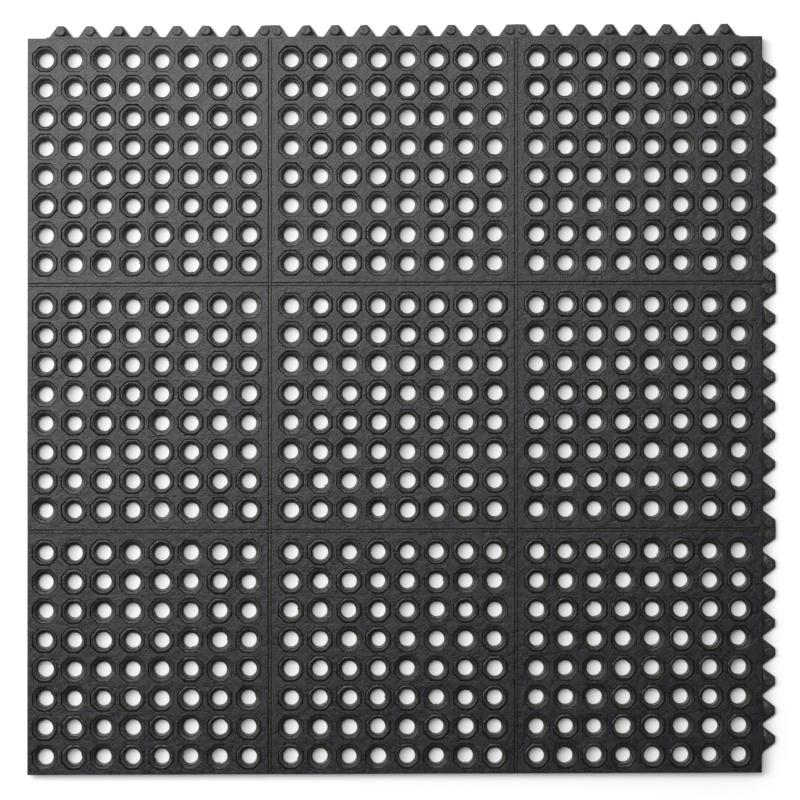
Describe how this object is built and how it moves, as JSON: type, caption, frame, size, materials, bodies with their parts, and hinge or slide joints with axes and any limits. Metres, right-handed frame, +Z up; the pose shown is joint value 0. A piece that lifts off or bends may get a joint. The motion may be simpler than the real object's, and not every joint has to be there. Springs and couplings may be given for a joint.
{
  "type": "rubber drainage mat",
  "caption": "Square black rubber mat with a grid of drain holes in eight-sided recesses, and button tabs along adjacent edges that lock under the next mat.",
  "frame": {"origin": "middle of the square body, without its tabs, on the underside", "axes": "+Z up through the thickness, +X towards the right edge and +Y towards the back edge, the two edges that carry tabs"},
  "size_m": [0.932, 0.932, 0.016],
  "materials": {
    "rubber": "matte, moulded, lightly scuffed"
  },
  "bodies": {
    "root": {"panel_row_1_column_1": "rubber", "panel_row_1_column_2": "rubber", "panel_row_1_column_3": "rubber", "panel_row_2_column_1": "rubber", "panel_row_2_column_2": "rubber", "panel_row_2_column_3": "rubber", "panel_row_3_column_1": "rubber", "panel_row_3_column_2": "rubber", "panel_row_3_column_3": "rubber"}
  },
  "joints": []
}
